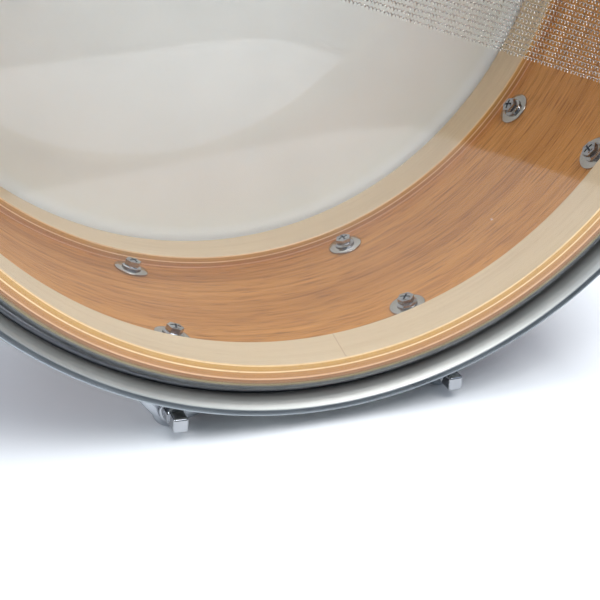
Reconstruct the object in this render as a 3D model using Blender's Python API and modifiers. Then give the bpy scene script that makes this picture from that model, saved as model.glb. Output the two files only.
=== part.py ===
"""Ten-lug snare drum, 14 in across and 5.5 in deep, lying on the ears of its two hoops.

The drum's axis runs along Y, with the snare side towards -Y. Z is up and the floor is Z = 0.
Metres throughout. Rings are turned about their own Z, which points outwards from the drum.
"""

import math

import bmesh
import bpy
from mathutils import Matrix, Vector

MM = 0.001
SIDES = 60
HALF_STEP = math.pi / SIDES
FLAT = math.cos(HALF_STEP)

# Shell and its glued reinforcement rings
SHELL_DEPTH = 141.5 * MM
SHELL_OUTER = 176.2 * MM
SHELL_INNER = 171.3 * MM
CREST_RADIUS = 173.1 * MM
RING_INNER = 165.8 * MM
RING_OUTER = 171.0 * MM
RING_HEIGHT = 21.5 * MM
RING_SETBACK = 2.65 * MM
HALF_DEPTH = SHELL_DEPTH / 2
GAP = 0.3 * MM

# Lugs, ears and tension rods
LUGS = 10
FIRST_LUG = math.radians(18)
LUG_STEP = math.radians(36)
ROD_CIRCLE = 192.3 * MM
EAR_NOSE = 8.0 * MM
SCREW_FROM_EDGE = 35.0 * MM
TUBE_RADIUS = 4.75 * MM
TUBE_HALF = 48.0 * MM
TUBE_BORE = 3.1 * MM
BORE_DEPTH = 20.0 * MM
ROD_RADIUS = 2.7 * MM
ROD_TIP = -38.0 * MM
EAR_HOLE = 3.2 * MM
EAR_FRONT = -11.6 * MM
KEY_SQUARE = 6.35 * MM

# The ears beside the lowest gap touch the floor
AXIS_HEIGHT = ROD_CIRCLE * math.cos(FIRST_LUG) + EAR_NOSE

# Snare mechanism
STRAINER_ANGLE = math.radians(-108)
BUTT_ANGLE = math.radians(72)
BASE_FOOT = SHELL_OUTER * FLAT + 0.35 * MM
PIVOT_RADIUS = 194.0 * MM
PIVOT_SETBACK = 78.0 * MM
STRAND_COUNT = 20
STRAND_PITCH = 2.1 * MM

SNARE = -1
BATTER = 1


def clear_scene():
    for old in list(bpy.data.objects):
        bpy.data.objects.remove(old, do_unlink=True)


def new_collection(name, hidden=False):
    made = bpy.data.collections.new(name)
    bpy.context.scene.collection.children.link(made)
    made.hide_render = hidden
    return made


clear_scene()
DRUM = new_collection("snare_drum")
CUTTERS = new_collection("cutters", hidden=True)


def material(name, colour, roughness, metallic, alpha=1.0):
    made = bpy.data.materials.new(name)
    made.use_nodes = True
    shader = made.node_tree.nodes["Principled BSDF"]
    shader.inputs["Base Color"].default_value = (*colour, 1.0)
    shader.inputs["Roughness"].default_value = roughness
    shader.inputs["Metallic"].default_value = metallic
    shader.inputs["Alpha"].default_value = alpha
    made.diffuse_color = (*colour, alpha)
    return made


def place(name, mesh, matrix, finish=None):
    """Adds a mesh to the drum with its own material, or to the cutters if it has none."""
    made = bpy.data.objects.new(name, mesh)
    if finish is None:
        made.hide_render = True
        made.display_type = "WIRE"
        CUTTERS.objects.link(made)
    else:
        mesh.materials.clear()
        mesh.materials.append(material(name, *finish))
        DRUM.objects.link(made)
    made.matrix_world = matrix
    return made


def baked(source):
    """The mesh that an object's modifiers leave, in the object's own frame."""
    bpy.context.view_layer.update()
    graph = bpy.context.evaluated_depsgraph_get()
    return bpy.data.meshes.new_from_object(source.evaluated_get(graph), depsgraph=graph)


def turned(name, outline, steps, around=True, phase=0.0):
    """Turns an outline of (radius, height) about Z. It runs down the outer side, top to bottom."""
    mesh = bpy.data.meshes.new(name)
    points = [(r * math.cos(phase), r * math.sin(phase), z) for r, z in outline]
    count = len(points)
    edges = [(i, (i + 1) % count) for i in range(count if around else count - 1)]
    mesh.from_pydata(points, edges, [])
    blank = place(name + "_outline", mesh, Matrix.Identity(4))
    screw = blank.modifiers.new("Turn", "SCREW")
    screw.angle = math.tau
    screw.steps = steps
    screw.render_steps = steps
    screw.use_merge_vertices = True
    screw.merge_threshold = 1e-5
    screw.use_smooth_shade = False
    made = baked(blank)
    bpy.data.objects.remove(blank)
    return made


def prism(outline, low, high):
    """Extrudes a counter-clockwise outline of (x, y) from z = low to z = high."""
    shape = bmesh.new()
    face = shape.faces.new([shape.verts.new((x, y, low)) for x, y in outline])
    lifted = bmesh.ops.extrude_face_region(shape, geom=[face])
    top = [v for v in lifted["geom"] if isinstance(v, bmesh.types.BMVert)]
    bmesh.ops.translate(shape, verts=top, vec=(0, 0, high - low))
    bmesh.ops.recalc_face_normals(shape, faces=shape.faces)
    mesh = bpy.data.meshes.new("prism")
    shape.to_mesh(mesh)
    shape.free()
    return mesh


def block(x, y, z, bevel=0.0):
    """A box from three (low, high) pairs, with its edges taken off."""
    mesh = prism([(x[0], y[0]), (x[1], y[0]), (x[1], y[1]), (x[0], y[1])], z[0], z[1])
    if bevel:
        blank = place("block_blank", mesh, Matrix.Identity(4))
        edge = blank.modifiers.new("Edges", "BEVEL")
        edge.width = bevel
        edge.segments = 1
        edge.limit_method = "ANGLE"
        mesh = baked(blank)
        bpy.data.objects.remove(blank)
    return mesh


def moved(mesh, matrix):
    made = mesh.copy()
    made.transform(matrix)
    return made


def gathered(meshes):
    """Several separate closed meshes as one, for a single Boolean."""
    shape = bmesh.new()
    for mesh in meshes:
        shape.from_mesh(mesh)
    made = bpy.data.meshes.new("gathered")
    shape.to_mesh(made)
    shape.free()
    return made


def combined(name, base, added=(), removed=()):
    """Unions and then cuts meshes by Boolean, and returns the solid's mesh."""
    blank = place(name + "_blank", base, Matrix.Identity(4))
    steps = [("UNION", mesh) for mesh in added] + [("DIFFERENCE", mesh) for mesh in removed]
    tools = []
    for number, (operation, mesh) in enumerate(steps):
        tool = place(f"{name}_{operation.lower()}_{number}", mesh, Matrix.Identity(4))
        boolean = blank.modifiers.new(operation.title(), "BOOLEAN")
        boolean.operation = operation
        boolean.solver = "EXACT"
        boolean.object = tool
        tools.append(tool)
    made = baked(blank)
    bpy.data.objects.remove(blank)
    for tool in tools:
        bpy.data.objects.remove(tool)
    return made


def round_tool(radius, low, high, sides):
    """A closed cylinder about Z."""
    outline = [(0, high), (radius, high), (radius, low), (0, low)]
    return turned("round_tool", outline, sides, around=False, phase=math.pi / sides)


def outward(side):
    """Turns local Z to the drum's outward direction on one side, and keeps local X."""
    return Matrix.Rotation(-side * math.pi / 2, 4, "X")


def on_axis(side, distance):
    return Matrix.Translation((0, side * distance, AXIS_HEIGHT)) @ outward(side)


def radial(angle, side):
    """Local X points out from the drum's axis at this angle from straight down, local Z outwards."""
    out = Vector((math.sin(angle), 0, -math.cos(angle)))
    along = Vector((0, side, 0))
    across = along.cross(out)
    turn = Matrix((out, across, along)).transposed().to_4x4()
    return Matrix.Translation((0, 0, AXIS_HEIGHT)) @ turn


# Finishes: colour, roughness, metallic, alpha
MAHOGANY = ((0.30, 0.14, 0.07), 0.45, 0.0)
MAPLE = ((0.78, 0.62, 0.42), 0.5, 0.0)
NICKEL = ((0.62, 0.61, 0.58), 0.28, 1.0)
CHROME = ((0.78, 0.79, 0.80), 0.08, 1.0)
DARK_STEEL = ((0.30, 0.31, 0.33), 0.35, 1.0)
BRASS = ((0.72, 0.55, 0.28), 0.3, 1.0)
CLEAR_FILM = ((0.92, 0.94, 0.96), 0.15, 0.0, 0.35)
COATED_FILM = ((0.90, 0.90, 0.88), 0.7, 0.0)
STRAP_FILM = ((0.85, 0.86, 0.88), 0.4, 0.0)

LUG_ANGLES = [FIRST_LUG + LUG_STEP * i for i in range(LUGS)]
SIDE_NAMES = {SNARE: "snare", BATTER: "batter"}
SCREW_ROWS = [-(HALF_DEPTH - SCREW_FROM_EDGE), HALF_DEPTH - SCREW_FROM_EDGE]

# ---- Shell: plies, bearing edges, screw holes and vent -------------------------------------
bearing = [
    (SHELL_INNER, -0.65 * MM),
    (CREST_RADIUS, 0.0),
    (SHELL_OUTER, -2.2 * MM),
]
shell_outline = [(r, HALF_DEPTH + z) for r, z in bearing]
shell_outline += [(r, -HALF_DEPTH - z) for r, z in reversed(bearing)]
shell_blank = turned("shell", shell_outline, SIDES, phase=HALF_STEP)
screw_hole = moved(round_tool(2.7 * MM, 0.160, 0.185, 8), Matrix.Rotation(math.pi / 2, 4, "Y"))
vent_hole = moved(round_tool(6.6 * MM, 0.160, 0.185, 16), Matrix.Rotation(math.pi / 2, 4, "Y"))
undo_height = Matrix.Translation((0, 0, -AXIS_HEIGHT))
to_shell = outward(SNARE).inverted() @ undo_height
holes = [
    moved(screw_hole, to_shell @ radial(angle, BATTER) @ Matrix.Translation((0, 0, row)))
    for angle in LUG_ANGLES
    for row in SCREW_ROWS
]
holes.append(moved(vent_hole, to_shell @ radial(math.pi, BATTER)))
shell_mesh = combined("shell", shell_blank, removed=[gathered(holes)])
place("shell", shell_mesh, on_axis(SNARE, 0), MAHOGANY)

vent_top = SHELL_OUTER * FLAT + GAP
vent_low = SHELL_INNER * FLAT - GAP
vent_outline = [
    (8.2 * MM, vent_top + 0.9 * MM),
    (8.2 * MM, vent_top),
    (6.0 * MM, vent_top),
    (6.0 * MM, vent_low),
    (8.0 * MM, vent_low),
    (8.0 * MM, vent_low - 0.8 * MM),
    (4.2 * MM, vent_low - 0.8 * MM),
    (4.2 * MM, vent_top + 0.9 * MM),
]
vent = turned("vent", vent_outline, 12, phase=math.pi / 12)
place("vent_grommet", moved(vent, Matrix.Rotation(math.pi / 2, 4, "Y")), radial(math.pi, BATTER), CHROME)

# ---- Reinforcement rings, heads and flesh hoops, one of each per side ------------------------
ring_outline = [
    (RING_INNER, -RING_SETBACK),
    (168.1 * MM, -2.15 * MM),
    (RING_OUTER, -0.78 * MM),
    (RING_OUTER, -RING_SETBACK - RING_HEIGHT),
    (RING_INNER, -RING_SETBACK - RING_HEIGHT),
]
head_outline = [
    (0, 0.6 * MM),
    (173.3 * MM, 0.6 * MM),
    (176.85 * MM, -1.9 * MM),
    (176.85 * MM, -9.5 * MM),
    (176.53 * MM, -9.5 * MM),
    (176.53 * MM, -2.0 * MM),
    (173.2 * MM, 0.3 * MM),
    (0, 0.3 * MM),
]
flesh_outline = [
    (182.3 * MM, -5.5 * MM),
    (183.15 * MM, -6.3 * MM),
    (183.15 * MM, -11.2 * MM),
    (177.2 * MM, -11.2 * MM),
    (177.2 * MM, -5.5 * MM),
]
for side, word in SIDE_NAMES.items():
    at_edge = on_axis(side, HALF_DEPTH)
    ring = turned("ring", ring_outline, SIDES, phase=HALF_STEP)
    place(f"ring_{word}_side", ring, at_edge, MAPLE)
    film = turned("head", head_outline, SIDES, around=False, phase=HALF_STEP)
    place(f"head_{word}_side", film, at_edge, CLEAR_FILM if side == SNARE else COATED_FILM)
    flesh = turned("flesh", flesh_outline, SIDES, phase=HALF_STEP)
    place(f"flesh_hoop_{word}_side", flesh, at_edge, DARK_STEEL)

# ---- Triple-flanged hoops with ears ------------------------------------------------------
hoop_outline = [
    (180.7 * MM, 6.4 * MM),
    (183.7 * MM, 6.0 * MM),
    (183.5 * MM, 4.2 * MM),
    (182.5 * MM, 3.7 * MM),
    (181.4 * MM, -2.9 * MM),
    (185.0 * MM, -2.9 * MM),
    (185.8 * MM, -3.8 * MM),
    (185.8 * MM, -11.7 * MM),
    (189.4 * MM, -11.7 * MM),
    (189.4 * MM, -13.9 * MM),
    (183.6 * MM, -13.9 * MM),
    (183.6 * MM, -5.15 * MM),
    (179.0 * MM, -5.15 * MM),
]
ear_outline = [
    (184.6 * MM, -14.0 * MM),
    (188.0 * MM, -13.5 * MM),
]
for turn in (-90, -54, -18, 18, 54, 90):
    bend = math.radians(turn)
    ear_outline.append((ROD_CIRCLE + EAR_NOSE * math.cos(bend), EAR_NOSE * math.sin(bend)))
ear_outline += [
    (188.0 * MM, 13.5 * MM),
    (184.6 * MM, 14.0 * MM),
]
ear_shape = prism(ear_outline, EAR_FRONT - 2.4 * MM, EAR_FRONT)
ear_hole = moved(round_tool(EAR_HOLE, -20 * MM, -5 * MM, 12), Matrix.Translation((ROD_CIRCLE, 0, 0)))
lip_gate = block((170 * MM, 190 * MM), (-25 * MM, 25 * MM), (-1.9 * MM, 9 * MM))
for side, word in SIDE_NAMES.items():
    to_hoop = outward(side).inverted() @ undo_height
    turns = [to_hoop @ radial(angle, side) for angle in LUG_ANGLES]
    ears = gathered([moved(ear_shape, turn) for turn in turns])
    cuts = [moved(ear_hole, turn) for turn in turns]
    if side == SNARE:
        cuts += [moved(lip_gate, to_hoop @ radial(angle, side)) for angle in (STRAINER_ANGLE, BUTT_ANGLE)]
    hoop = combined("hoop", turned("hoop", hoop_outline, SIDES, phase=HALF_STEP), [ears], [gathered(cuts)])
    place(f"hoop_{word}_side", hoop, on_axis(side, HALF_DEPTH), NICKEL)

# ---- Tube lugs: a bored tube on two posts, each drawn in by a screw and washer ---------------
tube = round_tool(TUBE_RADIUS, -TUBE_HALF, TUBE_HALF, 10)
bores = gathered(
    [
        round_tool(TUBE_BORE, TUBE_HALF - BORE_DEPTH, TUBE_HALF + 2 * MM, 10),
        round_tool(TUBE_BORE, -TUBE_HALF - 2 * MM, BORE_DEPTH - TUBE_HALF, 10),
    ]
)
post_foot = SHELL_OUTER * FLAT + 0.35 * MM
washer_top = SHELL_INNER * FLAT - 0.35 * MM
post_outline = [
    (0, ROD_CIRCLE - 1.0 * MM),
    (4.2 * MM, ROD_CIRCLE - 1.0 * MM),
    (4.2 * MM, post_foot + 4.0 * MM),
    (7.6 * MM, post_foot + 1.2 * MM),
    (7.6 * MM, post_foot),
    (2.2 * MM, post_foot),
    (2.2 * MM, washer_top),
    (7.95 * MM, washer_top),
    (7.95 * MM, washer_top - 1.4 * MM),
    (3.4 * MM, washer_top - 1.4 * MM),
    (3.2 * MM, washer_top - 4.6 * MM),
    (0, washer_top - 4.6 * MM),
]
post = turned("post", post_outline, 8, around=False, phase=math.pi / 8)
post = moved(post, Matrix.Rotation(math.pi / 2, 4, "Y"))
to_tube = Matrix.Translation((-ROD_CIRCLE, 0, 0))
posts = gathered([moved(post, to_tube @ Matrix.Translation((0, 0, row))) for row in SCREW_ROWS])
lug_mesh = combined("lug", tube, [posts], [bores])
for number, angle in enumerate(LUG_ANGLES, 1):
    stand = radial(angle, BATTER) @ Matrix.Translation((ROD_CIRCLE, 0, 0))
    place(f"lug_{number:02d}", lug_mesh.copy(), stand, CHROME)

# ---- Tension rods: threaded shank, washer, collar and square key head -----------------------
shank_outline = [
    (0, -5.5 * MM),
    (4.3 * MM, -5.5 * MM),
    (4.6 * MM, -10.0 * MM),
    (5.6 * MM, -10.0 * MM),
    (5.6 * MM, EAR_FRONT + GAP),
    (ROD_RADIUS, EAR_FRONT + GAP),
    (ROD_RADIUS, ROD_TIP),
    (0, ROD_TIP),
]
shank = turned("shank", shank_outline, 8, around=False)
half_key = KEY_SQUARE / 2
key_head = block((-half_key, half_key), (-half_key, half_key), (-7.5 * MM, 2.3 * MM))
rod_mesh = combined("rod", shank, [key_head])
for side, word in SIDE_NAMES.items():
    for number, angle in enumerate(LUG_ANGLES, 1):
        seat = radial(angle, side) @ Matrix.Translation((ROD_CIRCLE, 0, HALF_DEPTH))
        place(f"rod_{word}_{number:02d}", rod_mesh.copy(), seat, CHROME)

# ---- Strainer: base with cheeks, throw-off lever, slider, clamp plate and tension knob --------
STRAINER = radial(STRAINER_ANGLE, SNARE)
BUTT = radial(BUTT_ANGLE, SNARE)
pivot_z = HALF_DEPTH - PIVOT_SETBACK
cheek_x = (186.5 * MM, 197.5 * MM)
base_z = (pivot_z - 14 * MM, pivot_z + 34 * MM)
slider_z = (pivot_z + 8 * MM, pivot_z + 36 * MM)
cheek_z = (pivot_z - 5 * MM, pivot_z + 5 * MM)
pin_bore = moved(round_tool(2.0 * MM, -20 * MM, 20 * MM, 12), Matrix.Rotation(math.pi / 2, 4, "X"))
pin_bore = moved(pin_bore, Matrix.Translation((PIVOT_RADIUS, 0, pivot_z)))
knob_bore = round_tool(2.3 * MM, pivot_z - 40 * MM, pivot_z - 1 * MM, 12)
knob_bore = moved(knob_bore, Matrix.Translation((182.5 * MM, 0, 0)))
base_mesh = combined(
    "strainer",
    block((BASE_FOOT, 187.4 * MM), (-15.5 * MM, 15.5 * MM), base_z, 1.0 * MM),
    [
        block(cheek_x, (-15.4 * MM, -12.4 * MM), cheek_z, 0.6 * MM),
        block(cheek_x, (12.4 * MM, 15.4 * MM), cheek_z, 0.6 * MM),
    ],
    [pin_bore, knob_bore],
)
place("strainer_base", base_mesh, STRAINER, CHROME)

barrel = moved(round_tool(3.6 * MM, -12 * MM, 12 * MM, 12), Matrix.Rotation(math.pi / 2, 4, "X"))
pin = moved(round_tool(1.6 * MM, -15 * MM, 15 * MM, 12), Matrix.Rotation(math.pi / 2, 4, "X"))
handle_outline = [
    (-1.4 * MM, 0.0),
    (-1.4 * MM, -40 * MM),
    (1.8 * MM, -50 * MM),
    (4.2 * MM, -50 * MM),
    (1.6 * MM, -38.5 * MM),
    (1.6 * MM, 0.0),
]
handle = moved(prism(handle_outline, -9.5 * MM, 9.5 * MM), Matrix.Rotation(math.pi / 2, 4, "X"))
lever_mesh = combined("lever", barrel, [pin, handle])
lever_seat = STRAINER @ Matrix.Translation((PIVOT_RADIUS, 0, pivot_z))
place("strainer_lever", lever_mesh, lever_seat, CHROME)

slider_mesh = block((187.8 * MM, 192.2 * MM), (-11.5 * MM, 11.5 * MM), slider_z, 0.6 * MM)
place("strainer_slider", slider_mesh, STRAINER, NICKEL)
clamp_screw = moved(round_tool(2.4 * MM, 194.2 * MM, 197.0 * MM, 10), Matrix.Rotation(math.pi / 2, 4, "Y"))


def clamp_plate(low, high):
    """A strap clamp: a plate with its two screw heads."""
    middle = (low + high) / 2
    heads = [moved(clamp_screw, Matrix.Translation((0, y, middle))) for y in (-7 * MM, 7 * MM)]
    plate = block((193.2 * MM, 195.0 * MM), (-11.5 * MM, 11.5 * MM), (low, high), 0.4 * MM)
    return combined("clamp", plate, [gathered(heads)])


place("strainer_clamp", clamp_plate(pivot_z + 24 * MM, pivot_z + 35 * MM), STRAINER, NICKEL)

knob_outline = [
    (0, pivot_z - 6 * MM),
    (1.9 * MM, pivot_z - 6 * MM),
    (1.9 * MM, pivot_z - 14.6 * MM),
    (5.6 * MM, pivot_z - 14.6 * MM),
    (5.8 * MM, pivot_z - 16 * MM),
    (5.8 * MM, pivot_z - 25 * MM),
    (4.8 * MM, pivot_z - 26 * MM),
    (0, pivot_z - 26 * MM),
]
knob_mesh = turned("knob", knob_outline, 12, around=False)
place("strainer_knob", knob_mesh, STRAINER @ Matrix.Translation((182.5 * MM, 0, 0)), NICKEL)

butt_low = HALF_DEPTH - 50 * MM
butt_mesh = block((BASE_FOOT, 192.2 * MM), (-15 * MM, 15 * MM), (butt_low, butt_low + 26 * MM), 1.0 * MM)
place("butt_base", butt_mesh, BUTT, CHROME)
place("butt_clamp", clamp_plate(butt_low + 12 * MM, butt_low + 23 * MM), BUTT, NICKEL)

# ---- Straps and snare wires ------------------------------------------------------------------


def strip(path, thickness):
    """The outline of a thin strip whose middle follows a path of (x, z) points."""
    points = [Vector(point) for point in path]
    sides = []
    for i, here in enumerate(points):
        ahead = (points[min(i + 1, len(points) - 1)] - points[max(i - 1, 0)]).normalized()
        sides.append(Vector((-ahead.y, ahead.x)) * thickness / 2)
    left = [here + side for here, side in zip(points, sides)]
    right = [here - side for here, side in zip(points, sides)]
    return [tuple(point) for point in right + left[::-1]]


strap_path = [
    (158.5 * MM, HALF_DEPTH + 2.8 * MM),
    (169.5 * MM, HALF_DEPTH + 2.8 * MM),
    (177.0 * MM, HALF_DEPTH + 1.6 * MM),
    (186.5 * MM, HALF_DEPTH - 0.6 * MM),
    (191.3 * MM, HALF_DEPTH - 3.2 * MM),
    (192.7 * MM, HALF_DEPTH - 7.5 * MM),
    (192.7 * MM, HALF_DEPTH - 39.5 * MM),
]
strap_turn = Matrix.Rotation(math.pi / 2, 4, "X")
for name, where, length in (("strap_strainer", STRAINER, 14), ("strap_butt", BUTT, 0)):
    path = strap_path[:-1] + [(192.7 * MM, HALF_DEPTH - (39.5 + length) * MM)]
    strap = moved(prism(strip(path, 0.35 * MM), -10 * MM, 10 * MM), strap_turn)
    place(name, strap, where, STRAP_FILM)

wire_low = HALF_DEPTH + 1.0 * MM
strands = [
    block(
        (-160 * MM, 160 * MM),
        ((i - 9.5) * STRAND_PITCH - 0.65 * MM, (i - 9.5) * STRAND_PITCH + 0.65 * MM),
        (wire_low + 0.1 * MM, wire_low + 1.15 * MM),
    )
    for i in range(STRAND_COUNT)
]
end_plates = [
    block((low * MM, high * MM), (-21.5 * MM, 21.5 * MM), (wire_low, wire_low + 1.25 * MM))
    for low, high in ((-168, -157), (157, 168))
]
wire_mesh = combined("wires", end_plates[0], [gathered(strands), end_plates[1]])
place("snare_wires", wire_mesh, radial(BUTT_ANGLE, SNARE), BRASS)
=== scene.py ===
"""Looks for a ten-lug snare drum that lies on the ears of its hoops, seen through its clear snare head.

The drum's axis runs along Y and the snare side faces -Y. Profiles are (radius, height) pairs,
with the height measured outwards from the crest of the bearing edge.
"""

import math
import random

import bmesh
import bpy
from mathutils import Matrix, Vector


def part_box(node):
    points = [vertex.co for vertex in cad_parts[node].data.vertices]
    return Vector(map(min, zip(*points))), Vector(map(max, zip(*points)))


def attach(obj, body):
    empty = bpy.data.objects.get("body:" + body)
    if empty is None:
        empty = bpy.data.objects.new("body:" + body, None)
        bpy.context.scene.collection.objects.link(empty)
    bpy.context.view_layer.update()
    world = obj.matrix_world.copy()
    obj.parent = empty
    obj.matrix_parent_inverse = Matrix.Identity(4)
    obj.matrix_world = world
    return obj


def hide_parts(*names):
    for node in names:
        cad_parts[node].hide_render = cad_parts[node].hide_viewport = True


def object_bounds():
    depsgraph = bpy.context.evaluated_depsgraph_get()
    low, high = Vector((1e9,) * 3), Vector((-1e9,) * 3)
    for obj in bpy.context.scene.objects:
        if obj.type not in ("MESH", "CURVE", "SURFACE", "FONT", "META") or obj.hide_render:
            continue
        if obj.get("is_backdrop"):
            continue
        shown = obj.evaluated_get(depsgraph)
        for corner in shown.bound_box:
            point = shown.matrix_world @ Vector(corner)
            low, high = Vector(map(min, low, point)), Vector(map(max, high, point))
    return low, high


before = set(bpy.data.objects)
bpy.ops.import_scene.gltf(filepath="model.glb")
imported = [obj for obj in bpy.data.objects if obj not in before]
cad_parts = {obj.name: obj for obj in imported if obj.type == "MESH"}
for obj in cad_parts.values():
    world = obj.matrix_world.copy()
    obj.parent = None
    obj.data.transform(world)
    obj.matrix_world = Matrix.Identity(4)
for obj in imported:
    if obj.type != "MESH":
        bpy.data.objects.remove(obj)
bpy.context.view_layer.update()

MM = 0.001
STEPS = 240
SNARE = -1
BATTER = 1
SIDE_NAMES = {SNARE: "snare", BATTER: "batter"}
ROOT = "drum"

# Places read from the frame
SHELL_LOW, SHELL_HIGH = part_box("shell")
HALF_DEPTH = (SHELL_HIGH.y - SHELL_LOW.y) / 2
AXIS_HEIGHT = (SHELL_HIGH.z + SHELL_LOW.z) / 2

# The design's own sizes
ROD_CIRCLE = 192.3 * MM
RING_INNER = 165.8 * MM
RING_OUTER = 171.2 * MM
RING_HEIGHT = 21.5 * MM
RING_SETBACK = 2.65 * MM
SHELL_INNER = 171.2 * MM
SHELL_OUTER = 176.2 * MM
CREST_RADIUS = 173.1 * MM
FIRST_LUG = math.radians(18)
LUG_STEP = math.radians(36)
LUG_ANGLES = [FIRST_LUG + LUG_STEP * i for i in range(10)]
STRAINER_ANGLE = math.radians(-108)
BUTT_ANGLE = math.radians(72)
SCREW_ROWS = [-(HALF_DEPTH - 35 * MM), HALF_DEPTH - 35 * MM]
EAR_FRONT = -11.6 * MM
EAR_BACK = -14.0 * MM
EAR_NOSE = 8.0 * MM
PIVOT_Z = HALF_DEPTH - 78 * MM
PIVOT_RADIUS = 194.0 * MM

# Turns that lay a mesh about Z along X, or along -Y
TO_X = Matrix.Rotation(math.pi / 2, 4, "Y")
TO_Y = Matrix.Rotation(math.pi / 2, 4, "X")


# ---- Placing -------------------------------------------------------------------------------
def outward(side):
    """Turns local Z to the drum's outward direction on one side, and keeps local X."""
    return Matrix.Rotation(-side * math.pi / 2, 4, "X")


def on_axis(side, distance):
    return Matrix.Translation((0, side * distance, AXIS_HEIGHT)) @ outward(side)


def radial(angle, side):
    """Local X points out from the drum's axis at this angle from straight down, local Z outwards."""
    out = Vector((math.sin(angle), 0, -math.cos(angle)))
    along = Vector((0, side, 0))
    across = along.cross(out)
    turn = Matrix((out, across, along)).transposed().to_4x4()
    return Matrix.Translation((0, 0, AXIS_HEIGHT)) @ turn


def shift(x, y, z):
    return Matrix.Translation((x, y, z))


# ---- Node materials --------------------------------------------------------------------------
def add(tree, kind, inputs=None, **settings):
    """Adds a node, sets its properties, and links or sets its inputs."""
    node = tree.nodes.new(kind)
    for key, value in settings.items():
        setattr(node, key, value)
    for key, value in (inputs or {}).items():
        if isinstance(value, bpy.types.NodeSocket):
            tree.links.new(value, node.inputs[key])
        else:
            node.inputs[key].default_value = value
    return node


def principled(name, roughness=0.5, metallic=0.0, colour=(0.8, 0.8, 0.8), **sockets):
    """A Principled material, its node tree and its shader."""
    made = bpy.data.materials.new(name)
    made.use_nodes = True
    shader = made.node_tree.nodes["Principled BSDF"]
    shader.inputs["Base Color"].default_value = (*colour, 1)
    shader.inputs["Roughness"].default_value = roughness
    shader.inputs["Metallic"].default_value = metallic
    for key, value in sockets.items():
        shader.inputs[key.replace("_", " ").title().replace("Ior", "IOR")].default_value = value
    return made, made.node_tree, shader


def ramp(tree, factor, stops, kind="LINEAR"):
    node = add(tree, "ShaderNodeValToRGB", {"Fac": factor})
    node.color_ramp.interpolation = kind
    points = node.color_ramp.elements
    while len(points) < len(stops):
        points.new(0.5)
    for point, (place, colour) in zip(points, stops):
        point.position = place
        point.color = (*colour, 1)
    return node.outputs["Color"]


def mixed(tree, factor, first, second, blend="MIX"):
    """Mixes two colours by a factor."""
    node = add(tree, "ShaderNodeMix", data_type="RGBA", blend_type=blend)
    for socket, value in ((node.inputs[0], factor), (node.inputs[6], first), (node.inputs[7], second)):
        if isinstance(value, bpy.types.NodeSocket):
            tree.links.new(value, socket)
        elif isinstance(value, tuple):
            socket.default_value = (*value, 1)
        else:
            socket.default_value = value
    return node.outputs[2]


def noise(tree, where, scale, detail=4.0, roughness=0.55, distortion=0.0):
    """Noise on coordinates stretched by a scale for each direction, per metre."""
    stretched = add(tree, "ShaderNodeMapping", {"Vector": where, "Scale": scale}).outputs["Vector"]
    settings = {
        "Vector": stretched,
        "Scale": 1.0,
        "Detail": detail,
        "Roughness": roughness,
        "Distortion": distortion,
    }
    return add(tree, "ShaderNodeTexNoise", settings).outputs["Fac"]


def remapped(tree, value, low, high, to_low, to_high):
    settings = {
        "Value": value,
        "From Min": low,
        "From Max": high,
        "To Min": to_low,
        "To Max": to_high,
    }
    return add(tree, "ShaderNodeMapRange", settings).outputs["Result"]


def bumped(tree, shader, height, distance, strength=0.5):
    settings = {"Height": height, "Distance": distance, "Strength": strength}
    tree.links.new(add(tree, "ShaderNodeBump", settings).outputs["Normal"], shader.inputs["Normal"])


def surface_place(tree):
    """Metres along and across the surface."""
    return add(tree, "ShaderNodeUVMap", uv_map="metres").outputs["UV"]


def object_place(tree):
    return add(tree, "ShaderNodeTexCoord").outputs["Object"]


def radius_of(tree, where):
    """The distance from local Z."""
    flat = add(tree, "ShaderNodeVectorMath", {0: where, 1: (1, 1, 0)}, operation="MULTIPLY").outputs[0]
    return add(tree, "ShaderNodeVectorMath", {0: flat}, operation="LENGTH").outputs["Value"]


def mahogany():
    """Open-grained mahogany veneer, its grain running round the shell."""
    made, tree, shader = principled("mahogany_veneer", roughness=0.6, specular_ior_level=0.25)
    where = surface_place(tree)
    broad = noise(tree, where, (4, 30, 1), 3)
    figure = noise(tree, where, (2.2, 230, 1), 5, 0.62, 0.25)
    fibre = noise(tree, where, (45, 2300, 1), 3)
    pores = noise(tree, where, (60, 1150, 1), 2, 0.5)
    dashes = noise(tree, where, (24, 900, 1), 3, 0.55, 0.2)
    tone = ramp(tree, broad, [(0.3, (0.535, 0.24, 0.054)), (0.7, (0.715, 0.35, 0.094))])
    streak = ramp(tree, figure, [(0.34, (0.52, 0.42, 0.34)), (0.50, (1, 1, 1)), (0.75, (1.0, 1.0, 1.0))])
    shade = mixed(tree, 0.42, tone, streak, "MULTIPLY")
    fine = ramp(tree, fibre, [(0.3, (0.74, 0.70, 0.66)), (0.58, (1, 1, 1))])
    shade = mixed(tree, 0.9, shade, fine, "MULTIPLY")
    deep = ramp(tree, pores, [(0.34, (0.36, 0.26, 0.20)), (0.43, (1, 1, 1))])
    shade = mixed(tree, 0.6, shade, deep, "MULTIPLY")
    dark = ramp(tree, dashes, [(0.33, (0.42, 0.32, 0.26)), (0.40, (1, 1, 1))])
    shade = mixed(tree, 0.26, shade, dark, "MULTIPLY")
    tree.links.new(shade, shader.inputs["Base Color"])
    tree.links.new(remapped(tree, figure, 0.3, 0.7, 0.66, 0.52), shader.inputs["Roughness"])
    bumped(tree, shader, pores, 0.00010, 0.35)
    return made


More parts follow.
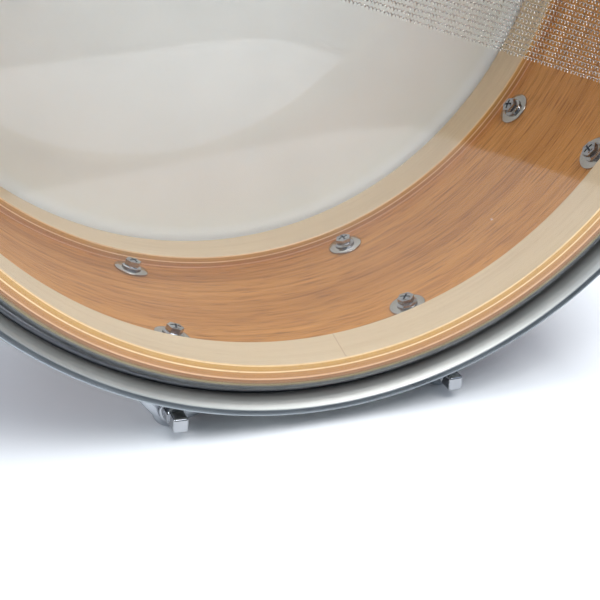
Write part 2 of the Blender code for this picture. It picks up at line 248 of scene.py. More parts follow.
def maple(name, light, dark, roughness=0.5, gloss=0.0, seam=None):
    """Close-grained veneer with faint flecks along the grain, and a slanting glued joint if there's a seam."""
    made, tree, shader = principled(name, roughness=roughness, coat_weight=gloss, coat_roughness=0.06)
    where = surface_place(tree)
    broad = noise(tree, where, (7, 40, 1), 3)
    line = noise(tree, where, (14, 420, 1), 4, 0.6, 0.3)
    fleck = noise(tree, where, (160, 1300, 1), 2)
    tone = ramp(tree, broad, [(0.3, dark), (0.7, light)])
    faint = ramp(tree, line, [(0.3, (0.90, 0.87, 0.82)), (0.55, (1, 1, 1))])
    shade = mixed(tree, 0.7, tone, faint, "MULTIPLY")
    small = ramp(tree, fleck, [(0.28, (0.80, 0.72, 0.62)), (0.36, (1, 1, 1))])
    shade = mixed(tree, 0.55, shade, small, "MULTIPLY")
    if seam:
        parts = add(tree, "ShaderNodeSeparateXYZ", {"Vector": where})
        slant = add(tree, "ShaderNodeMath", {0: parts.outputs["Y"], 1: 0.12}, operation="MULTIPLY").outputs[0]
        along = add(tree, "ShaderNodeMath", {0: parts.outputs["X"], 1: slant}, operation="ADD").outputs[0]
        away = add(tree, "ShaderNodeMath", {0: along, 1: seam, 2: 0.00022}, operation="COMPARE").outputs[0]
        half = add(tree, "ShaderNodeMath", {0: away, 1: 0.55}, operation="MULTIPLY").outputs[0]
        shade = mixed(tree, half, shade, (0.50, 0.34, 0.18))
    tree.links.new(shade, shader.inputs["Base Color"])
    bumped(tree, shader, fleck, 0.00005, 0.4)
    return made


def plies(name, low, high, stops):
    """End grain of the plies on a turned edge, banded by radius from low to high."""
    made, tree, shader = principled(name, roughness=0.42, coat_weight=0.25, coat_roughness=0.2)
    where = object_place(tree)
    radius = radius_of(tree, where)
    wander = noise(tree, where, (18, 18, 18), 2)
    wander = remapped(tree, wander, 0.3, 0.7, -0.00007, 0.00007)
    radius = add(tree, "ShaderNodeMath", {0: radius, 1: wander}, operation="ADD").outputs[0]
    across = remapped(tree, radius, low, high, 0, 1)
    bands = ramp(tree, across, [((r * MM - low) / (high - low), c) for r, c in stops])
    grain = noise(tree, where, (900, 900, 900), 3)
    long_grain = noise(tree, surface_place(tree), (30, 1500, 1), 3)
    speck = ramp(tree, grain, [(0.30, (0.62, 0.50, 0.42)), (0.42, (1, 1, 1))])
    shade = mixed(tree, 0.45, bands, speck, "MULTIPLY")
    faint = ramp(tree, long_grain, [(0.3, (0.84, 0.80, 0.76)), (0.6, (1.0, 1.0, 1.0))])
    shade = mixed(tree, 0.6, shade, faint, "MULTIPLY")
    tree.links.new(shade, shader.inputs["Base Color"])
    bumped(tree, shader, grain, 0.00003, 0.4)
    return made


def metal(name, colour, roughness, spread=0.06, brushed=0.0, blemish=0.0, metallic=1.0):
    """Plated metal: roughness varies in soft patches, with fine brushing or small pits."""
    made, tree, shader = principled(name, roughness=roughness, metallic=metallic, colour=colour)
    where = object_place(tree)
    patch = noise(tree, where, (35, 35, 35), 3)
    tree.links.new(
        remapped(tree, patch, 0.3, 0.7, max(roughness - spread, 0.02), roughness + spread),
        shader.inputs["Roughness"],
    )
    tone = ramp(tree, patch, [(0.3, tuple(c * 0.94 for c in colour)), (0.7, colour)])
    if blemish:
        pits = noise(tree, where, (420, 420, 420), 2)
        dark = ramp(tree, pits, [(0.22, (0.55, 0.52, 0.48)), (0.28, (1, 1, 1))])
        tone = mixed(tree, blemish, tone, dark, "MULTIPLY")
    tree.links.new(tone, shader.inputs["Base Color"])
    if brushed:
        lines = noise(tree, surface_place(tree), (12, 5200, 1), 3)
        bumped(tree, shader, lines, 0.000005, brushed)
    else:
        ripple = noise(tree, where, (90, 90, 90), 2)
        bumped(tree, shader, ripple, 0.00001, 0.1)
    return made


def clear_film():
    """Thin clear polyester: nearly invisible, mirror-like at its surface, with haze and a little dust."""
    colour = (0.96, 0.98, 1.0)
    made, tree, shader = principled("clear_polyester", roughness=0.05, metallic=0.85, colour=colour)
    facing = add(tree, "ShaderNodeLayerWeight", {"Blend": 0.5}).outputs["Facing"]
    curve = add(tree, "ShaderNodeMath", {0: facing, 1: 4.0}, operation="POWER").outputs[0]
    grazing = remapped(tree, curve, 0.0, 1.0, 0.026, 0.9)
    where = object_place(tree)
    cloud = noise(tree, where, (9, 9, 9), 3)
    haze = remapped(tree, cloud, 0.3, 0.7, -0.004, 0.006)
    alpha = add(tree, "ShaderNodeMath", {0: grazing, 1: haze}, operation="ADD").outputs[0]
    cells = {"Vector": where, "Scale": 42.0}
    specks = add(tree, "ShaderNodeTexVoronoi", cells, feature="F1").outputs["Distance"]
    dust = remapped(tree, specks, 0.024, 0.016, 0.0, 0.22)
    sparse = noise(tree, where, (24, 24, 24), 1)
    kept = remapped(tree, sparse, 0.56, 0.60, 0.0, 1.0)
    dust = add(tree, "ShaderNodeMath", {0: dust, 1: kept}, operation="MULTIPLY").outputs[0]
    total = add(tree, "ShaderNodeMath", {0: alpha, 1: dust}, operation="MAXIMUM").outputs[0]
    tree.links.new(total, shader.inputs["Alpha"])
    return made


def coated_film(name, ring_edge, gloss, light, dark):
    """White sprayed coating with a fine grit. It stops short of the edge, and that rim's colour is painted in:
    bright bluish white on the glossy copy, as painted light through the bare film, and dull grey on the matte
    copy, as painted shade.
    """
    made, tree, shader = principled(name, roughness=0.6, coat_weight=gloss, coat_roughness=0.03, coat_ior=1.6)
    where = object_place(tree)
    radius = radius_of(tree, where)
    wander = remapped(tree, noise(tree, where, (14, 14, 14), 3), 0.3, 0.7, -0.0008, 0.0008)
    radius = add(tree, "ShaderNodeMath", {0: radius, 1: wander}, operation="ADD").outputs[0]
    edge = remapped(tree, radius, ring_edge - 0.0075, ring_edge - 0.002, 0.0, 1.0)
    cloud = noise(tree, where, (20, 20, 20), 4)
    white = ramp(tree, cloud, [(0.3, dark), (0.7, light)])
    # The rim's colour is painted light on the glossy copy and painted shade on the matte copy
    painted_rim = (0.90, 0.98, 0.99) if gloss else (0.62, 0.62, 0.61)
    tree.links.new(mixed(tree, edge, white, painted_rim), shader.inputs["Base Color"])
    grit = noise(tree, where, (1800, 1800, 1800), 2)
    bumped(tree, shader, grit, 0.00001, 0.06)
    return made


LINE = (0.92, 0.68, 0.38)
RING_STOPS = [
    (165.8, (0.78, 0.56, 0.28)),
    (166.3, LINE),
    (166.5, (0.62, 0.35, 0.085)),
    (167.4, (0.60, 0.33, 0.08)),
    (168.15, (0.56, 0.29, 0.07)),
    (168.35, LINE),
    (168.65, LINE),
    (168.85, (0.53, 0.26, 0.065)),
    (169.8, (0.49, 0.225, 0.06)),
    (170.55, (0.50, 0.235, 0.07)),
    (170.8, (0.74, 0.46, 0.25)),
    (171.1, (0.74, 0.46, 0.25)),
]
# Ply bands across the shell's bearing edge. From the crest outwards the colour fades to near-black grey. That
# part is painted shade where the head's collar covers the outer bevel, not the wood's colour.
SHELL_STOPS_WITH_PAINTED_SHADE = [
    (171.2, (0.60, 0.35, 0.17)),
    (171.3, (0.32, 0.13, 0.04)),
    (172.1, (0.31, 0.145, 0.042)),
    (172.5, (0.22, 0.10, 0.03)),
    (172.7, (0.26, 0.18, 0.055)),
    (173.3, (0.21, 0.16, 0.055)),
    (173.7, (0.085, 0.075, 0.05)),
    (174.1, (0.055, 0.058, 0.060)),
    (176.2, (0.050, 0.054, 0.058)),
]

MAHOGANY = mahogany()
RING_SEAM = math.radians(276) * RING_OUTER
MAPLE_FACE = maple("maple_ring_face", (0.76, 0.63, 0.43), (0.70, 0.565, 0.37), seam=RING_SEAM)
OUTSIDE = maple("lacquered_mahogany", (0.185, 0.058, 0.022), (0.10, 0.030, 0.013), 0.35, 1.0)
RING_PLIES = plies("ring_plies", RING_INNER, RING_OUTER, RING_STOPS)
SHELL_PLIES_WITH_PAINTED_SHADE = plies("shell_plies_with_painted_shade", SHELL_INNER, SHELL_OUTER, SHELL_STOPS_WITH_PAINTED_SHADE)
NICKEL = metal("satin_nickel", (0.37, 0.375, 0.355), 0.44, 0.03, brushed=0.15, blemish=0.2, metallic=0.75)
# The hoop's front edge gets a copy of the hoop's nickel in a cooler blue-grey, which is a painted dim
# reflection. Its smoother finish is real.
FRONT_NICKEL_PAINTED_REFLECTION = metal("front_edge_nickel_painted_reflection", (0.34, 0.375, 0.40), 0.3, 0.04)
# The ears are part of the same hoop but get their own shinier metal in a dim blue-grey. That colour is painted
# shade and a painted cool reflection, not the plating's.
EAR_NICKEL_PAINTED_REFLECTION = metal("ear_nickel_painted_reflection", (0.44, 0.46, 0.49), 0.16, 0.04)
CHROME = metal("polished_chrome", (0.66, 0.67, 0.69), 0.07, 0.03)
ROD_CHROME = metal("rod_plate", (0.42, 0.43, 0.45), 0.05, 0.02)
WASHER_CHROME = metal("washer_plate", (0.50, 0.48, 0.45), 0.16, 0.05, blemish=0.4)
CHANNEL = metal("flesh_hoop_steel", (0.22, 0.23, 0.25), 0.34, 0.06, blemish=0.3)
WIRE = metal("snare_wire_steel", (0.62, 0.60, 0.56), 0.22, 0.05)
BRASS = metal("brass_plate", (0.70, 0.50, 0.22), 0.25, 0.06, brushed=0.3)
CLEAR = clear_film()
# One coating in two copies: the glossy inside copy is painted brighter and bluish as light coming through the
# head, and the matte outside copy is painted darker grey as shade.
COATED_INSIDE_PAINTED_LIGHT = coated_film("coated_inside", RING_INNER, 1.0, (0.87, 0.93, 0.90), (0.81, 0.87, 0.84))
COATED_OUTSIDE_PAINTED_SHADE = coated_film("coated_outside", RING_INNER, 0.0, (0.68, 0.665, 0.64), (0.63, 0.615, 0.59))


# ---- Mesh making -----------------------------------------------------------------------------
def filleted(points, cut, steps=3, around=True):
    """Rounds an outline's corners, starting each round this far from the corner."""
    count = len(points)
    made = []
    for i, corner in enumerate(points):
        if not around and i in (0, count - 1):
            made.append(tuple(corner))
            continue
        here = Vector(corner)
        back = Vector(points[i - 1]) - here
        ahead = Vector(points[(i + 1) % count]) - here
        reach = min(cut, 0.45 * back.length, 0.45 * ahead.length)
        start = here + back.normalized() * reach
        end = here + ahead.normalized() * reach
        for step in range(steps + 1):
            t = step / steps
            point = start * (1 - t) ** 2 + here * 2 * t * (1 - t) + end * t**2
            made.append(tuple(point))
    return made


def lathe(outline, steps=STEPS, around=True):
    """Turns an outline of (radius, height) about Z, with a UV map in metres round and along it."""
    count = len(outline)
    turns = [math.tau * i / steps for i in range(steps)]
    points = [(r * math.cos(t), r * math.sin(t), z) for t in turns for r, z in outline]
    spans = count if around else count - 1
    lengths = [0.0]
    for i in range(spans):
        lengths.append(lengths[-1] + math.dist(outline[i], outline[(i + 1) % count]))
    widest = max(r for r, _ in outline)
    shape = bmesh.new()
    made = [shape.verts.new(point) for point in points]
    layer = shape.loops.layers.uv.new("metres")
    for i in range(steps):
        ahead = (i + 1) % steps
        for j in range(spans):
            k = (j + 1) % count
            corners = [
                (made[i * count + j], i, j),
                (made[i * count + k], i, j + 1),
                (made[ahead * count + k], i + 1, j + 1),
                (made[ahead * count + j], i + 1, j),
            ]
            face = shape.faces.new([corner[0] for corner in corners])
            for loop, (_, turn, place) in zip(face.loops, corners):
                loop[layer].uv = (widest * math.tau * turn / steps, lengths[place])
    bmesh.ops.remove_doubles(shape, verts=shape.verts, dist=1e-7)
    bmesh.ops.recalc_face_normals(shape, faces=shape.faces)
    return to_mesh(shape)


def to_mesh(shape):
    mesh = bpy.data.meshes.new("piece")
    shape.to_mesh(mesh)
    shape.free()
    return mesh


def prism(outline, low, high):
    """Extrudes an outline of (x, y) from z = low to z = high."""
    shape = bmesh.new()
    face = shape.faces.new([shape.verts.new((x, y, low)) for x, y in outline])
    lifted = bmesh.ops.extrude_face_region(shape, geom=[face])
    top = [v for v in lifted["geom"] if isinstance(v, bmesh.types.BMVert)]
    bmesh.ops.translate(shape, verts=top, vec=(0, 0, high - low))
    bmesh.ops.recalc_face_normals(shape, faces=shape.faces)
    return to_mesh(shape)


def block(x, y, z):
    return prism([(x[0], y[0]), (x[1], y[0]), (x[1], y[1]), (x[0], y[1])], z[0], z[1])


def rod_mesh(radius, low, high, steps=32, round_off=0.2 * MM):
    """A solid round bar about Z with rounded ends."""
    outline = [(0, high), (radius, high), (radius, low), (0, low)]
    return lathe(filleted(outline, round_off, 2, around=False), steps, around=False)


def moved(mesh, matrix):
    made = mesh.copy()
    made.transform(matrix)
    return made


def gathered(meshes):
    shape = bmesh.new()
    for mesh in meshes:
        shape.from_mesh(mesh)
    return to_mesh(shape)


def baked(source):
    bpy.context.view_layer.update()
    graph = bpy.context.evaluated_depsgraph_get()
    return bpy.data.meshes.new_from_object(source.evaluated_get(graph), depsgraph=graph)


def shaped(mesh, cuts=(), joins=(), bevel=0.0, segments=3, angle=30):
    """Applies Booleans and then a bevel to a mesh."""
    blank = bpy.data.objects.new("blank", mesh)
    bpy.context.scene.collection.objects.link(blank)
    tools = []
    for operation, meshes in (("UNION", joins), ("DIFFERENCE", cuts)):
        for other in meshes:
            tool = bpy.data.objects.new("tool", other)
            bpy.context.scene.collection.objects.link(tool)
            boolean = blank.modifiers.new("Boolean", "BOOLEAN")
            boolean.operation = operation
            boolean.solver = "EXACT"
            boolean.object = tool
            tools.append(tool)
    if bevel:
        edges = blank.modifiers.new("Edges", "BEVEL")
        edges.width = bevel
        edges.segments = segments
        edges.limit_method = "ANGLE"
        edges.angle_limit = math.radians(angle)
        edges.harden_normals = False
    made = baked(blank)
    for other in [blank, *tools]:
        bpy.data.objects.remove(other)
    return made


def piece(name, mesh, matrix, materials, nodes=(), body=ROOT, weighted=True):
    """Adds a visible piece: smooth except at sharp edges, riding on a body."""
    made = bpy.data.objects.new(name, mesh)
    bpy.context.scene.collection.objects.link(made)
    made.matrix_world = matrix
    if not mesh.materials:
        for material in materials if isinstance(materials, (list, tuple)) else [materials]:
            mesh.materials.append(material)
    mesh.set_sharp_from_angle(angle=math.radians(35))
    if weighted:
        normals = made.modifiers.new("Normals", "WEIGHTED_NORMAL")
        normals.keep_sharp = True
    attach(made, body)
    for node in [nodes] if isinstance(nodes, str) else nodes:
        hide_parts(node)
    return made


# ---- Shell and reinforcement rings ------------------------------------------------------------
bearing = [
    (SHELL_INNER, -0.62 * MM),
    (172.3 * MM, -0.16 * MM),
    (CREST_RADIUS, 0.0),
    (173.9 * MM, -0.12 * MM),
    (174.9 * MM, -0.55 * MM),
    (175.7 * MM, -1.3 * MM),
    (SHELL_OUTER, -2.6 * MM),
]
body_rows = [HALF_DEPTH * k / 6 for k in range(5, -6, -1)]
shell_outline = [(r, HALF_DEPTH + z) for r, z in bearing]
shell_outline += [(SHELL_OUTER, z) for z in body_rows]
shell_outline += [(r, -HALF_DEPTH - z) for r, z in reversed(bearing)]
shell_outline += [(SHELL_INNER, -z) for z in body_rows]
shell_mesh = lathe(shell_outline, 360)
vent_cut = moved(rod_mesh(6.3 * MM, 0.150, 0.190, 48), TO_X)
to_shell = on_axis(SNARE, 0).inverted()
shell_mesh = shaped(shell_mesh, cuts=[moved(vent_cut, to_shell @ radial(math.pi, BATTER))])
for face in shell_mesh.polygons:
    radius = math.hypot(face.center.x, face.center.y)
    flat_zone = abs(face.center.z) < HALF_DEPTH - 2.5 * MM
    inner = radius < SHELL_INNER + 0.1 * MM
    face.material_index = (0 if inner else 1) if flat_zone else 2
piece("shell_wood", shell_mesh, on_axis(SNARE, 0), [MAHOGANY, OUTSIDE, SHELL_PLIES_WITH_PAINTED_SHADE], "shell")

ring_outline = [
    (RING_INNER, -RING_SETBACK - 0.25 * MM),
    (RING_INNER + 0.25 * MM, -RING_SETBACK),
    (168.1 * MM, -2.15 * MM),
    (169.6 * MM, -1.45 * MM),
    (RING_OUTER, -0.64 * MM),
    (RING_OUTER, -RING_SETBACK - RING_HEIGHT),
    (RING_INNER + 0.3 * MM, -RING_SETBACK - RING_HEIGHT),
    (RING_INNER, -RING_SETBACK - RING_HEIGHT + 0.3 * MM),
]
for side, word in SIDE_NAMES.items():
    ring_mesh = lathe(ring_outline, 360)
    for face in ring_mesh.polygons:
        radius = math.hypot(face.center.x, face.center.y)
        face.material_index = 0 if radius < RING_INNER + 0.02 * MM else 1
    name = f"ring_{word}_side"
    piece(name + "_wood", ring_mesh, on_axis(side, HALF_DEPTH), [MAPLE_FACE, RING_PLIES], name)

vent_outline = [
    (8.2 * MM, 177.1 * MM),
    (8.2 * MM, 176.2 * MM),
    (6.1 * MM, 176.2 * MM),
    (6.1 * MM, 170.9 * MM),
    (8.0 * MM, 170.9 * MM),
    (8.0 * MM, 170.2 * MM),
    (4.2 * MM, 170.2 * MM),
    (4.2 * MM, 177.1 * MM),
]
vent_mesh = moved(lathe(filleted(vent_outline, 0.35 * MM), 64), TO_X)
piece("vent_eyelet", vent_mesh, radial(math.pi, BATTER), CHROME, "vent_grommet")

# ---- Heads and flesh hoops ------------------------------------------------------------------
FILM = 0.25 * MM
head_outline = [
    (0, 0.28 * MM + FILM),
    (CREST_RADIUS, 0.28 * MM + FILM),
    (174.6 * MM, 0.05 * MM + FILM),
    (176.0 * MM, -0.9 * MM + FILM),
    (176.75 * MM, -2.4 * MM),
    (176.85 * MM, -9.0 * MM),
    (176.60 * MM, -9.0 * MM),
    (176.50 * MM, -2.4 * MM),
    (175.75 * MM, -0.9 * MM),
    (174.5 * MM, 0.05 * MM),
    (CREST_RADIUS, 0.28 * MM),
    (0, 0.28 * MM),
]
flesh_outline = [
    (182.6 * MM, -5.4 * MM),
    (183.2 * MM, -6.2 * MM),
    (183.2 * MM, -11.2 * MM),
    (177.1 * MM, -11.2 * MM),
    (177.1 * MM, -6.0 * MM),
    (178.0 * MM, -5.4 * MM),
]
for side, word in SIDE_NAMES.items():
    at_edge = on_axis(side, HALF_DEPTH)
    film = CLEAR if side == SNARE else [COATED_INSIDE_PAINTED_LIGHT, COATED_OUTSIDE_PAINTED_SHADE]
    name = f"head_{word}_side"
    film_mesh = lathe(head_outline, 360, around=False)
    for face in film_mesh.polygons:
        face.material_index = 1 if side == BATTER and face.center.z > 0.28 * MM + FILM / 2 else 0
    piece(name + "_film", film_mesh, at_edge, film, name)
    name = f"flesh_hoop_{word}_side"
    channel = lathe(filleted(flesh_outline, 0.5 * MM, 3))
    piece(name + "_channel", channel, at_edge, CHANNEL, name)

# ---- Triple-flanged hoops -----------------------------------------------------------------------
hoop_outline = [
    (183.75 * MM, 6.35 * MM),
    (183.75 * MM, 4.9 * MM),
    (182.6 * MM, 4.2 * MM),
    (181.7 * MM, 1.8 * MM),
    (181.35 * MM, -0.6 * MM),
    (181.3 * MM, -2.9 * MM),
    (185.8 * MM, -3.0 * MM),
    (185.8 * MM, -11.75 * MM),
    (189.4 * MM, -11.75 * MM),
    (189.4 * MM, -13.85 * MM),
    (183.6 * MM, -13.85 * MM),
    (183.6 * MM, -5.2 * MM),
    (179.0 * MM, -5.15 * MM),
    (179.1 * MM, -1.5 * MM),
    (179.5 * MM, 1.4 * MM),
    (180.2 * MM, 3.7 * MM),
    (181.2 * MM, 5.45 * MM),
]
ear_outline = [(183.9 * MM, -27.0 * MM), (186.0 * MM, -24.0 * MM), (190.0 * MM, -16.0 * MM)]
for step in range(-12, 13):
    bend = math.radians(step * 5)
    ear_outline.append((ROD_CIRCLE + EAR_NOSE * math.cos(bend), EAR_NOSE * math.sin(bend)))
ear_outline += [(190.0 * MM, 16.0 * MM), (186.0 * MM, 24.0 * MM), (183.9 * MM, 27.0 * MM)]
ear_hole = moved(rod_mesh(3.2 * MM, -30 * MM, 0, 32), shift(ROD_CIRCLE, 0, 0))
ear_mesh = shaped(prism(ear_outline, EAR_BACK - 0.8 * MM, EAR_FRONT), cuts=[ear_hole], bevel=0.9 * MM)
# The ears take the second finish, the blue-grey metal with painted shade
for face in ear_mesh.polygons:
    face.material_index = 1
# Faces further out than this are the hoop's front edge, which gets the blue-grey nickel with a painted dim
# reflection
FRONT_EDGE = 5.5 * MM
gate_cut = shaped(block((0.170, 0.190), (-0.025, 0.025), (-1.9 * MM, 12 * MM)), bevel=1.5 * MM)
for side, word in SIDE_NAMES.items():
    to_hoop = on_axis(side, HALF_DEPTH).inverted()
    hoop_mesh = lathe(filleted(hoop_outline, 0.7 * MM, 4), 360)
    for face in hoop_mesh.polygons:
        face.material_index = 2 if face.center.z > FRONT_EDGE else 0
    if side == SNARE:
        gates = [
            moved(gate_cut, to_hoop @ radial(angle, side) @ shift(0, 0, HALF_DEPTH))
            for angle in (STRAINER_ANGLE, BUTT_ANGLE)
        ]
        hoop_mesh = shaped(hoop_mesh, cuts=gates)
    ears = [
        moved(ear_mesh, to_hoop @ radial(angle, side) @ shift(0, 0, HALF_DEPTH)) for angle in LUG_ANGLES
    ]
    name = f"hoop_{word}_side"
    whole = gathered([hoop_mesh, *ears])
    finishes = [NICKEL, EAR_NICKEL_PAINTED_REFLECTION, FRONT_NICKEL_PAINTED_REFLECTION]
    piece(name + "_metal", whole, on_axis(side, HALF_DEPTH), finishes, name, weighted=False)

# ---- Lugs, washers and screws --------------------------------------------------------------------
tube_outline = [
    (4.75 * MM, 48 * MM),
    (4.75 * MM, -48 * MM),
    (3.0 * MM, -48 * MM),
    (3.0 * MM, -28 * MM),
    (0, -28 * MM),
]
half_bore = [(r, -z) for r, z in reversed(tube_outline[2:])]
tube_outline = half_bore[:-1] + [(3.0 * MM, 48 * MM)] + tube_outline
tube_mesh = lathe(filleted(tube_outline, 0.45 * MM, 3, around=False), 40, around=False)
collar_outline = [(5.6 * MM, 2 * MM), (5.6 * MM, -2 * MM), (4.5 * MM, -2 * MM), (4.5 * MM, 2 * MM)]
collar = lathe(filleted(collar_outline, 0.5 * MM), 40)
post_outline = [
    (0, 190.5 * MM),
    (4.0 * MM, 190.5 * MM),
    (3.9 * MM, 184 * MM),
    (4.4 * MM, 180.6 * MM),
    (5.6 * MM, 178.4 * MM),
    (7.6 * MM, 177.2 * MM),
    (7.6 * MM, 176.25 * MM),
    (0, 176.25 * MM),
]
post_mesh = moved(lathe(filleted(post_outline, 0.6 * MM, 3, around=False), 40, around=False), TO_X)
washer_outline = [
    (7.95 * MM, 170.95 * MM),
    (7.95 * MM, 170.1 * MM),
    (6.6 * MM, 169.75 * MM),
    (2.3 * MM, 169.6 * MM),
    (2.3 * MM, 170.95 * MM),
]
washer_mesh = moved(lathe(filleted(washer_outline, 0.3 * MM, 3), 72), TO_X)
HEX_CORNER = 3.75 * MM
hex_turns = [math.tau * k / 6 for k in range(6)]
hexagon = [(HEX_CORNER * math.cos(turn), HEX_CORNER * math.sin(turn)) for turn in hex_turns]
hex_mesh = prism(hexagon, -169.55 * MM, -166.2 * MM)
slots = [
    block((-2.3 * MM, 2.3 * MM), (-0.45 * MM, 0.45 * MM), (-167.9 * MM, -160 * MM)),
    block((-0.45 * MM, 0.45 * MM), (-2.3 * MM, 2.3 * MM), (-167.9 * MM, -160 * MM)),
]
dome_outline = [
    (0, -165.75 * MM),
    (1.6 * MM, -165.85 * MM),
    (2.7 * MM, -166.15 * MM),
    (3.1 * MM, -166.6 * MM),
    (0, -166.6 * MM),
]
dome = lathe(dome_outline, 32, around=False)
flange_outline = [
    (0, -168.5 * MM),
    (3.7 * MM, -168.5 * MM),
    (4.6 * MM, -169.0 * MM),
    (4.6 * MM, -169.6 * MM),
    (0, -169.6 * MM),
]
flange = lathe(flange_outline, 40, around=False)
screw_mesh = shaped(hex_mesh, cuts=slots, joins=[dome, flange], bevel=0.28 * MM, segments=2, angle=40)
screw_mesh = moved(screw_mesh, Matrix.Rotation(-math.pi / 2, 4, "Y"))
random.seed(5)
for number, angle in enumerate(LUG_ANGLES, 1):
    stand = radial(angle, BATTER)
    tag = f"lug_{number:02d}"
    posts = [moved(post_mesh, shift(0, 0, row)) for row in SCREW_ROWS]
    rings = [moved(collar, shift(ROD_CIRCLE, 0, row)) for row in SCREW_ROWS]
    tube = moved(tube_mesh, shift(ROD_CIRCLE, 0, 0))
    piece(tag + "_tube", gathered([tube, *posts, *rings]), stand, CHROME, tag)
    for row, end in zip(SCREW_ROWS, ("a", "b")):
        turn = Matrix.Rotation(random.uniform(0, math.tau), 4, "X")
        seat = stand @ shift(0, 0, row)
        piece(f"{tag}_washer_{end}", washer_mesh, seat, WASHER_CHROME, ())
        piece(f"{tag}_screw_{end}", screw_mesh, seat @ turn, ROD_CHROME, ())

# ---- Tension rods -----------------------------------------------------------------------------------
PITCH = 1.058 * MM
thread = []
height = EAR_BACK - 3 * MM
while height > -37 * MM:
    thread += [(2.72 * MM, height), (2.72 * MM, height - 0.15 * MM), (2.2 * MM, height - 0.55 * MM)]
    height -= PITCH
shank_outline = [
    (0, -5.0 * MM),
    (3.9 * MM, -5.0 * MM),
    (4.4 * MM, -6.0 * MM),
    (4.6 * MM, -9.6 * MM),
    (2.7 * MM, -9.7 * MM),
    (2.7 * MM, EAR_BACK - 2.4 * MM),
]
shank_outline += thread + [(1.6 * MM, -38 * MM), (0, -38 * MM)]
shank_mesh = lathe(shank_outline, 32, around=False)
seat_outline = [
    (5.6 * MM, -9.75 * MM),
    (5.6 * MM, -11.35 * MM),
    (2.9 * MM, -11.35 * MM),
    (2.9 * MM, -9.75 * MM),
]
seat_mesh = lathe(filleted(seat_outline, 0.4 * MM), 40)
half_key = 6.35 * MM / 2
key_mesh = block((-half_key, half_key), (-half_key, half_key), (-6.5 * MM, 2.3 * MM))
key_mesh = shaped(key_mesh, bevel=1.2 * MM, segments=5)
rod_whole = gathered([shank_mesh, seat_mesh, key_mesh])
random.seed(11)
for side, word in SIDE_NAMES.items():
    for number, angle in enumerate(LUG_ANGLES, 1):
        tag = f"rod_{word}_{number:02d}"
        turn = Matrix.Rotation(random.uniform(0, math.tau), 4, "Z")
        seat = radial(angle, side) @ shift(ROD_CIRCLE, 0, HALF_DEPTH) @ turn
        piece(tag + "_steel", rod_whole, seat, ROD_CHROME, tag, tag)

# ---- Strainer and butt plate ---------------------------------------------------------------------------
STRAINER = radial(STRAINER_ANGLE, SNARE)
BUTT = radial(BUTT_ANGLE, SNARE)
FOOT = 176.3 * MM
base_mesh = block((FOOT, 187.4 * MM), (-15.5 * MM, 15.5 * MM), (PIVOT_Z - 14 * MM, PIVOT_Z + 34 * MM))
pin_seat = shift(PIVOT_RADIUS, 0, PIVOT_Z) @ TO_Y
pin_bore = moved(rod_mesh(2.0 * MM, -20 * MM, 20 * MM), pin_seat)
cheeks = [
    block((185 * MM, 197.5 * MM), (low, low + 3 * MM), (PIVOT_Z - 5 * MM, PIVOT_Z + 5 * MM))
    for low in (-15.4 * MM, 12.4 * MM)
]
knob_bore = moved(rod_mesh(2.3 * MM, PIVOT_Z - 40 * MM, PIVOT_Z - 1 * MM), shift(182.5 * MM, 0, 0))
rails = [
    block((187.2 * MM, 189.6 * MM), (low, low + 2.0 * MM), (PIVOT_Z + 8 * MM, PIVOT_Z + 33 * MM))
    for low in (-14.6 * MM, 12.6 * MM)
]
base_mesh = shaped(base_mesh, joins=cheeks + rails, cuts=[pin_bore, knob_bore], bevel=0.8 * MM)
piece("strainer_casting", base_mesh, STRAINER, CHROME, "strainer_base")

barrel = moved(rod_mesh(3.6 * MM, -12 * MM, 12 * MM), TO_Y)
pin = moved(rod_mesh(1.6 * MM, -15.3 * MM, 15.3 * MM), TO_Y)
handle_outline = [
    (-1.3 * MM, 0.0),
    (-1.3 * MM, -36 * MM),
    (-0.4 * MM, -43 * MM),
    (2.0 * MM, -49.8 * MM),
    (4.2 * MM, -50 * MM),
    (2.0 * MM, -43 * MM),
    (1.6 * MM, -36 * MM),
    (1.6 * MM, 0.0),
]
handle = moved(prism(handle_outline, -9.5 * MM, 9.5 * MM), TO_Y)
handle = shaped(handle, bevel=0.7 * MM)
lever_mesh = gathered([barrel, pin, handle])
lever_seat = STRAINER @ shift(PIVOT_RADIUS, 0, PIVOT_Z)
piece("throw_off_lever", lever_mesh, lever_seat, CHROME, "strainer_lever", "strainer_lever")

slider_mesh = block((187.8 * MM, 192.2 * MM), (-11.5 * MM, 11.5 * MM), (PIVOT_Z + 8 * MM, PIVOT_Z + 36 * MM))
slider_mesh = shaped(slider_mesh, bevel=0.8 * MM)
piece("slider_block", slider_mesh, STRAINER, NICKEL, "strainer_slider", "strainer_slider")


def clamp_plate(low, high):
    """A strap clamp: a rounded plate with two slotted cheese-head screws."""
    plate = shaped(block((193.2 * MM, 195.0 * MM), (-11.5 * MM, 11.5 * MM), (low, high)), bevel=0.5 * MM)
    head = rod_mesh(2.4 * MM, 194.9 * MM, 197.0 * MM, 32, 0.4 * MM)
    nick = block((-3 * MM, 3 * MM), (-0.35 * MM, 0.35 * MM), (196.2 * MM, 198 * MM))
    head = moved(shaped(head, cuts=[nick]), TO_X)
    middle = (low + high) / 2
    return gathered([plate] + [moved(head, shift(0, y, middle)) for y in (-7 * MM, 7 * MM)])


clamp_mesh = clamp_plate(PIVOT_Z + 24 * MM, PIVOT_Z + 35 * MM)
piece("strainer_clamp_plate", clamp_mesh, STRAINER, NICKEL, "strainer_clamp", "strainer_slider")

